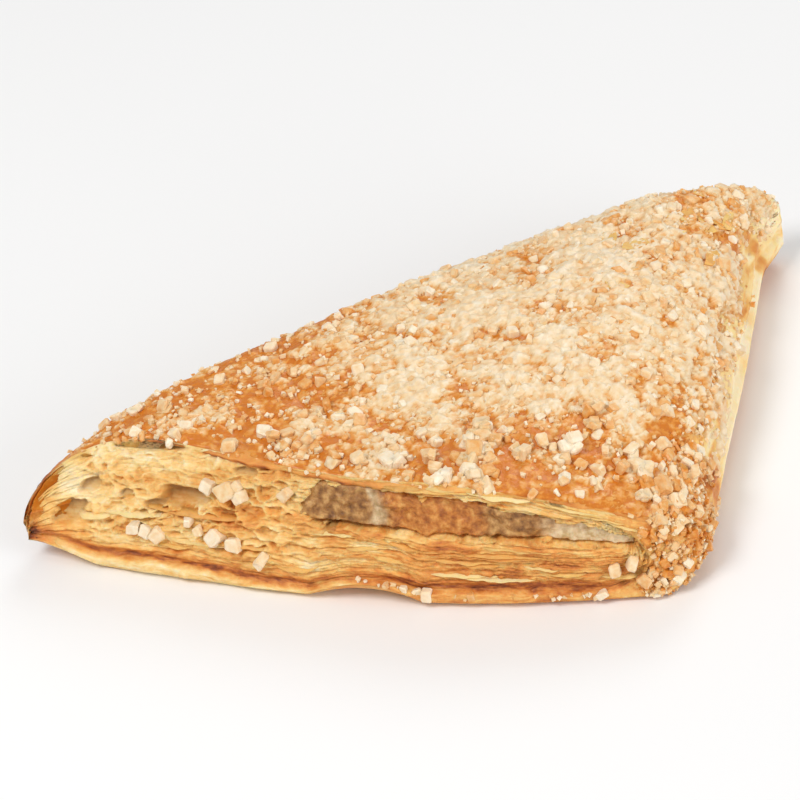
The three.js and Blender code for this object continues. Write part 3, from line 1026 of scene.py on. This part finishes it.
# shares along and up of the cubes on the front cut
CUT_CUBES = (
    (0.284, 0.75),
    (0.316, 0.75),
    (0.329, 0.78),
    (0.336, 0.72),
    (0.407, 0.81),
    (0.170, 0.37),
    (0.186, 0.34),
    (0.204, 0.32),
    (0.254, 0.47),
    (0.270, 0.41),
    (0.294, 0.37),
    (0.322, 0.35),
    (0.365, 0.24),
    (0.880, 0.36),
    (0.905, 0.46),
    (0.985, 0.20),
    (1.000, 0.34),
)


def on_front_cut(sizes, seed):
    """The places of the clear cubes that stick to the front cut."""
    along, up = np.array(CUT_CUBES).T
    return sized(*cut_frame(along, np.zeros(len(along)), up), sizes, seed, CLEAN_TINT)


def on_lower_edge(count, sizes, seed):
    """Places along the lower edge of the front cut."""
    draw = np.random.default_rng(seed)
    along = draw.uniform(0.5, 0.97, count)
    return sized(*cut_frame(along, np.zeros(count), draw.uniform(0.03, 0.09, count)), sizes, seed + 1)


def together(*groups):
    """Joins groups of grain places into one."""
    return tuple(np.concatenate(parts) for parts in zip(*groups))


# ---------------------------------------------------------------- materials


def node(tree, kind, inputs=None, **settings):
    made = tree.nodes.new(kind)
    for key, value in settings.items():
        setattr(made, key, value)
    for socket, value in (inputs or {}).items():
        if isinstance(value, bpy.types.NodeSocket):
            tree.links.new(value, made.inputs[socket])
        else:
            made.inputs[socket].default_value = value
    return made


def calc(tree, operation, a, b=0.0):
    return node(tree, "ShaderNodeMath", {0: a, 1: b}, operation=operation).outputs[0]


def mixed(tree, share, a, b):
    return node(tree, "ShaderNodeMix", {0: share, 6: a, 7: b}, data_type="RGBA").outputs[2]


def noise_node(tree, vector, size, detail=3.0, roughness=0.55):
    values = {"Vector": vector, "Scale": 1 / size, "Detail": detail, "Roughness": roughness}
    return node(tree, "ShaderNodeTexNoise", values).outputs["Fac"]


def srgb(red, green, blue):
    def linear(value):
        value /= 255
        return value / 12.92 if value <= 0.04045 else ((value + 0.055) / 1.055) ** 2.4

    return (linear(red), linear(green), linear(blue), 1.0)


def ramp(tree, value, stops):
    made = node(tree, "ShaderNodeValToRGB", {"Fac": value})
    elements = made.color_ramp.elements
    while len(elements) < len(stops):
        elements.new(0.5)
    for element, (position, colour) in zip(elements, stops):
        element.position = position
        element.color = colour
    return made.outputs["Color"]


BAKE_STOPS = (
    (0.0, srgb(253, 238, 204)),
    (0.2, srgb(250, 217, 152)),
    (0.38, srgb(240, 188, 108)),
    (0.52, srgb(228, 156, 76)),
    (0.66, srgb(206, 124, 52)),
    (0.8, srgb(150, 76, 34)),
    (1.0, srgb(40, 22, 16)),
)


def baked_group():
    """Colour of baked dough from how brown it is, with fine specks."""
    tree = bpy.data.node_groups.new("baked colour", "ShaderNodeTree")
    tree.interface.new_socket("Vector", in_out="INPUT", socket_type="NodeSocketVector")
    tree.interface.new_socket("Bake", in_out="INPUT", socket_type="NodeSocketFloat")
    tree.interface.new_socket("Unevenness", in_out="INPUT", socket_type="NodeSocketFloat")
    tree.interface.new_socket("Color", in_out="OUTPUT", socket_type="NodeSocketColor")
    tree.interface.new_socket("Brown", in_out="OUTPUT", socket_type="NodeSocketFloat")
    given = tree.nodes.new("NodeGroupInput")
    result = tree.nodes.new("NodeGroupOutput")
    fine = noise_node(tree, given.outputs["Vector"], 1.1 * MM, detail=4)
    broad = noise_node(tree, given.outputs["Vector"], 5 * MM, detail=2)
    both = calc(tree, "SUBTRACT", calc(tree, "ADD", fine, broad), 1.0)
    uneven = calc(tree, "MULTIPLY", both, given.outputs["Unevenness"])
    brown = calc(tree, "ADD", given.outputs["Bake"], uneven)
    tree.links.new(ramp(tree, brown, BAKE_STOPS), result.inputs["Color"])
    tree.links.new(brown, result.inputs["Brown"])
    return tree


def relief_group():
    """Height of a crumbly baked surface: pores on soft bumps."""
    tree = bpy.data.node_groups.new("crumb relief", "ShaderNodeTree")
    tree.interface.new_socket("Vector", in_out="INPUT", socket_type="NodeSocketVector")
    tree.interface.new_socket("Size", in_out="INPUT", socket_type="NodeSocketFloat")
    tree.interface.new_socket("Height", in_out="OUTPUT", socket_type="NodeSocketFloat")
    given = tree.nodes.new("NodeGroupInput")
    result = tree.nodes.new("NodeGroupOutput")
    scale = calc(tree, "DIVIDE", 1.0, given.outputs["Size"])
    vector = given.outputs["Vector"]
    bumps = node(tree, "ShaderNodeTexNoise", {"Vector": vector, "Scale": scale, "Detail": 5.0})
    pores = node(tree, "ShaderNodeTexVoronoi", {"Vector": vector, "Scale": scale})
    pore_height = calc(tree, "MULTIPLY", pores.outputs["Distance"], 0.35)
    tree.links.new(calc(tree, "ADD", bumps.outputs["Fac"], pore_height), result.inputs["Height"])
    return tree


def new_material(name, **constants):
    material = bpy.data.materials.new(name)
    material.use_nodes = True
    tree = material.node_tree
    tree.nodes.clear()
    values = {socket.replace("_", " "): value for socket, value in constants.items()}
    surface = node(tree, "ShaderNodeBsdfPrincipled", values)
    result = tree.nodes.new("ShaderNodeOutputMaterial")
    tree.links.new(surface.outputs["BSDF"], result.inputs["Surface"])
    place = tree.nodes.new("ShaderNodeTexCoord").outputs["Object"]
    return material, tree, surface, place


def attribute(tree, name):
    return node(tree, "ShaderNodeAttribute", attribute_name=name).outputs["Fac"]


def group(tree, shared, **inputs):
    made = tree.nodes.new("ShaderNodeGroup")
    made.node_tree = shared
    for socket, value in inputs.items():
        if isinstance(value, bpy.types.NodeSocket):
            tree.links.new(value, made.inputs[socket])
        else:
            made.inputs[socket].default_value = value
    return made


def bumped(tree, surface, height, distance, strength=1.0):
    bump = node(tree, "ShaderNodeBump", {"Strength": strength, "Distance": distance, "Height": height})
    tree.links.new(bump.outputs["Normal"], surface.inputs["Normal"])


def dough_material():
    material, tree, surface, place = new_material(
        "baked dough", Subsurface_Weight=0.3, Subsurface_Radius=(1.0, 0.55, 0.25), Subsurface_Scale=1.2 * MM,
        IOR=1.45,
    )
    colour = group(tree, BAKED, Vector=place, Bake=attribute(tree, "bake"), Unevenness=0.16)
    tree.links.new(colour.outputs["Color"], surface.inputs["Base Color"])
    roughness = calc(tree, "SUBTRACT", 0.68, calc(tree, "MULTIPLY", colour.outputs["Brown"], 0.3))
    tree.links.new(roughness, surface.inputs["Roughness"])
    bumped(tree, surface, group(tree, RELIEF, Vector=place, Size=0.5 * MM).outputs["Height"], 0.12 * MM)
    return material


# painted shade: the colour the leaves darken to inside the hollows, where shade falls
HOLLOW_PAINTED_SHADE = srgb(164, 118, 66)


def leaf_material():
    """Baked dough in thin leaves, which run along the cut and are drawn by the leaf mark."""
    material, tree, surface, place = new_material(
        "baked leaves", Subsurface_Weight=0.3, Subsurface_Radius=(1.0, 0.55, 0.25), Subsurface_Scale=1.0 * MM,
        IOR=1.45,
    )
    parts = node(tree, "ShaderNodeSeparateXYZ", {0: place}).outputs
    leaf = attribute(tree, "leaf")
    along_x = calc(tree, "MULTIPLY", parts[0], 0.16)
    along_y = calc(tree, "MULTIPLY", parts[1], 0.16)
    in_leaf = node(tree, "ShaderNodeCombineXYZ", {0: along_x, 1: along_y, 2: leaf}).outputs[0]
    lines = noise_node(tree, in_leaf, 0.42 * MM, detail=3)
    layered = attribute(tree, "layered")
    streaks = calc(tree, "MULTIPLY", calc(tree, "SUBTRACT", lines, 0.5), calc(tree, "MULTIPLY", layered, 0.7))
    bake = calc(tree, "ADD", attribute(tree, "bake"), streaks)
    colour = group(tree, BAKED, Vector=place, Bake=bake, Unevenness=0.22)
    # painted shade in the hollows
    shaded = mixed(tree, attribute(tree, "hollow_shade"), colour.outputs["Color"], HOLLOW_PAINTED_SHADE)
    tree.links.new(shaded, surface.inputs["Base Color"])
    roughness = calc(tree, "SUBTRACT", 0.7, calc(tree, "MULTIPLY", colour.outputs["Brown"], 0.3))
    tree.links.new(roughness, surface.inputs["Roughness"])
    crumb = group(tree, RELIEF, Vector=place, Size=0.5 * MM).outputs["Height"]
    height = calc(tree, "ADD", calc(tree, "MULTIPLY", lines, calc(tree, "MULTIPLY", layered, 2.4)), crumb)
    bumped(tree, surface, height, 0.16 * MM)
    return material


FILLING_GREY = ((0.3, srgb(114, 72, 36)), (0.5, srgb(168, 118, 64)), (0.7, srgb(212, 166, 104)))
FILLING_ORANGE = ((0.3, srgb(150, 78, 28)), (0.5, srgb(200, 124, 52)), (0.7, srgb(230, 166, 88)))
FILLING_CREAM = ((0.3, srgb(196, 164, 112)), (0.6, srgb(236, 214, 176)))


def filling_material():
    material, tree, surface, place = new_material(
        "fruit filling", Subsurface_Weight=0.25, Subsurface_Radius=(1.0, 0.5, 0.3), Subsurface_Scale=1.0 * MM,
        Roughness=0.38, IOR=1.42,
    )
    lumps = noise_node(tree, place, 1.4 * MM, detail=4)
    grey = ramp(tree, lumps, FILLING_GREY)
    orange = ramp(tree, lumps, FILLING_ORANGE)
    cream = ramp(tree, lumps, FILLING_CREAM)
    colour = mixed(tree, attribute(tree, "orange"), grey, orange)
    colour = mixed(tree, attribute(tree, "cream"), colour, cream)
    tree.links.new(colour, surface.inputs["Base Color"])
    bumped(tree, surface, group(tree, RELIEF, Vector=place, Size=0.45 * MM).outputs["Height"], 0.15 * MM)
    return material


# the sugar's colour from clear to caramel, by its tint
SUGAR_STOPS = (
    (0.0, srgb(248, 232, 206)),
    (0.4, srgb(238, 206, 156)),
    (0.7, srgb(230, 170, 98)),
    (0.88, srgb(222, 144, 52)),
    (1.0, srgb(208, 120, 28)),
)
# painted sheen: a paler colour that the clearer sugar takes at grazing angles, standing in for light through
# the crystals
GRAZING_PAINTED_SHEEN = srgb(252, 240, 220)


def sugar_material():
    material, tree, surface, place = new_material(
        "sugar", Subsurface_Weight=0.35, Subsurface_Radius=(1.0, 0.85, 0.7), Subsurface_Scale=0.4 * MM,
        Roughness=0.3, IOR=1.5,
    )
    cloud = calc(tree, "MULTIPLY", calc(tree, "SUBTRACT", noise_node(tree, place, 1.3 * MM), 0.5), 0.9)
    tint = calc(tree, "ADD", attribute(tree, "tint"), cloud)
    clear = ramp(tree, tint, SUGAR_STOPS)
    # painted sheen: paler where the faces turn away from the camera, less so on caramel sugar
    facing = node(tree, "ShaderNodeLayerWeight", {"Blend": 0.4}).outputs["Facing"]
    painted_sheen_share = calc(tree, "MULTIPLY", facing, calc(tree, "SUBTRACT", 0.75, attribute(tree, "tint")))
    with_painted_sheen = mixed(tree, painted_sheen_share, clear, GRAZING_PAINTED_SHEEN)
    tree.links.new(with_painted_sheen, surface.inputs["Base Color"])
    bumped(tree, surface, noise_node(tree, place, 0.5 * MM), 0.1 * MM)
    return material


BAKED = baked_group()
RELIEF = relief_group()
DOUGH = dough_material()
LEAF_DOUGH = leaf_material()
FILLING = filling_material()
SUGAR = sugar_material()


# ---------------------------------------------------------------- camera, light and floor

CAMERA_DISTANCE = 0.7
CAMERA_AZIMUTH = math.radians(14.31)
CAMERA_ELEVATION = math.radians(35.47)
CAMERA_ROLL = math.radians(-5.99)
CAMERA_LENS = 172.5
SENSOR = 36
AIM_HEIGHT = 12 * MM
AIM_RIGHT = -2.6 * MM
AIM_UP = -6.9 * MM


def camera():
    back = Vector((
        math.sin(CAMERA_AZIMUTH) * math.cos(CAMERA_ELEVATION),
        -math.cos(CAMERA_AZIMUTH) * math.cos(CAMERA_ELEVATION),
        math.sin(CAMERA_ELEVATION),
    ))
    level_right = Vector((math.cos(CAMERA_AZIMUTH), math.sin(CAMERA_AZIMUTH), 0))
    level_up = back.cross(level_right)
    right = math.cos(CAMERA_ROLL) * level_right + math.sin(CAMERA_ROLL) * level_up
    up = math.cos(CAMERA_ROLL) * level_up - math.sin(CAMERA_ROLL) * level_right
    middle = Vector((0, 0, AIM_HEIGHT))
    place = middle + CAMERA_DISTANCE * back
    aim = middle + AIM_RIGHT * right + AIM_UP * up
    towards = (place - aim).normalized()
    true_right = (right - right.dot(towards) * towards).normalized()
    true_up = towards.cross(true_right)
    data = bpy.data.cameras.new("camera")
    data.lens = CAMERA_LENS
    data.sensor_width = SENSOR
    made = bpy.data.objects.new("camera", data)
    turn = Matrix((true_right, true_up, towards)).transposed().to_4x4()
    made.matrix_world = Matrix.Translation(place) @ turn
    bpy.context.scene.collection.objects.link(made)
    bpy.context.scene.camera = made


def area_light(name, place, size, power, colour=(1, 1, 1)):
    data = bpy.data.lights.new(name, "AREA")
    data.shape = "DISK"
    data.size = size
    data.energy = power
    data.color = colour
    made = bpy.data.objects.new(name, data)
    made.location = place
    made.rotation_euler = (-Vector(place)).to_track_quat("-Z", "Y").to_euler()
    bpy.context.scene.collection.objects.link(made)


def studio():
    scene = bpy.context.scene
    scene.view_settings.view_transform = "Standard"
    scene.world = bpy.data.worlds.new("studio")
    scene.world.use_nodes = True
    background = scene.world.node_tree.nodes["Background"]
    background.inputs["Color"].default_value = (1.0, 0.995, 0.985, 1.0)
    background.inputs["Strength"].default_value = 0.45
    area_light("key", (-0.3, -0.45, 0.75), 0.35, 4.0)
    area_light("fill", (0.9, -0.4, 0.35), 0.7, 4.2)
    area_light("back", (0.1, 0.7, 0.7), 0.5, 1.8)
    bm = bmesh.new()
    bmesh.ops.create_grid(bm, x_segments=1, y_segments=1, size=3)
    mesh = bpy.data.meshes.new("floor")
    bm.to_mesh(mesh)
    bm.free()
    floor = added("floor", mesh)
    material, tree, surface, place = new_material("floor", Roughness=0.7)
    speck = noise_node(tree, place, 0.2)
    paint = ramp(tree, speck, ((0.0, (0.9, 0.9, 0.9, 1)), (1.0, (0.93, 0.93, 0.93, 1))))
    tree.links.new(paint, surface.inputs["Base Color"])
    mesh.materials.append(material)


# ---------------------------------------------------------------- the turnover

camera()
studio()
crust()
cut_leaves("front_leaves", 0.0, 560, 128, 101)
cut_leaves("back_leaves", 1.0, 460, 84, 501)
loose_leaves("front_leaf_edges", 0.0, 90, 601)
loose_leaves("back_leaf_edges", 1.0, 90, 651)
fruit_filling()
crust_flakes(751)
melted_sugar()
coarse_places = together(
    on_top(650, COARSE, 701),
    clustered(on_top(75, LARGE, 705, near_lip), 3, 0.55 * MM, 707),
    on_corners(30, COARSE, 711),
    on_fold_end(30, COARSE, 715, 1.0),
    on_fold_band(9, COARSE, 717),
    on_lower_edge(9, COARSE, 721),
    on_front_cut(CUT_COARSE, 731),
)
grains("coarse_sugar", coarse_places, COARSE_SINK, 741, COARSE_BEVEL)
fine_places = together(
    on_top(3600, FINE, 801),
    on_corners(220, FINE, 811),
    on_lower_edge(40, FINE, 821),
    on_fold_end(110, FINE, 831, 0.0),
    on_fold_end(220, FINE, 835, 1.0),
    on_fold_band(170, FINE, 837),
)
grains("fine_sugar", fine_places, FINE_SINK, 841, NO_BEVEL)
